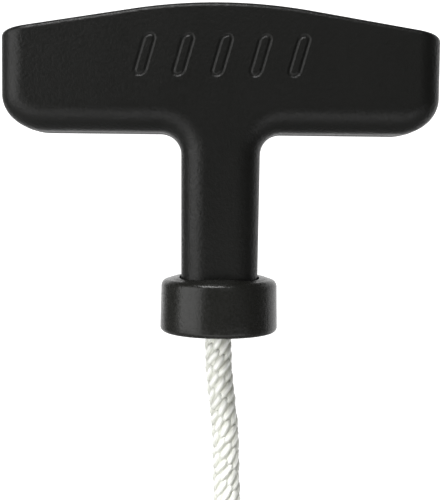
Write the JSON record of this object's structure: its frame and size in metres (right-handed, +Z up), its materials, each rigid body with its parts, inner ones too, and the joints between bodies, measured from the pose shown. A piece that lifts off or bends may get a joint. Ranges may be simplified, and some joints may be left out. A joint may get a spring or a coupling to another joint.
{
  "type": "recoil starter pull handle",
  "caption": "T-shaped moulded pull handle with a stop collar and a braided starter rope, its free length folded in a tied hank.",
  "frame": {"origin": "centre of the stop face under the collar, on the rope's line", "axes": "+Z up the neck towards the crossbar, +X along the crossbar, -Y out of the front face"},
  "size_m": [0.1044, 0.0288, 0.2864],
  "materials": {
    "grip_plastic": "matt moulded black",
    "collar_plastic": "semi-gloss moulded black",
    "zinc_steel": "zinc plated",
    "rope_nylon": "white braided nylon, slightly glossy",
    "tie_strap": "black woven strap"
  },
  "bodies": {
    "handle": {"grip": "grip_plastic", "stop_collar": "collar_plastic"},
    "washer": {"knot_washer": "zinc_steel"},
    "starter_rope": {"rope_knot": "rope_nylon", "rope_inner": "rope_nylon", "rope": "rope_nylon", "rope_hank": "rope_nylon", "hank_tie": "tie_strap"}
  },
  "joints": [
    {"name": "knot_swivel", "type": "hinge", "parent": "handle", "child": "washer", "pos_m": [0, 0, 0.0552], "axis": [0, 0, 1], "continuous": true},
    {"name": "knot_lift", "type": "slide", "parent": "washer", "child": "starter_rope", "axis": [0, 0, 1], "range_m": [0, 0.008]}
  ]
}
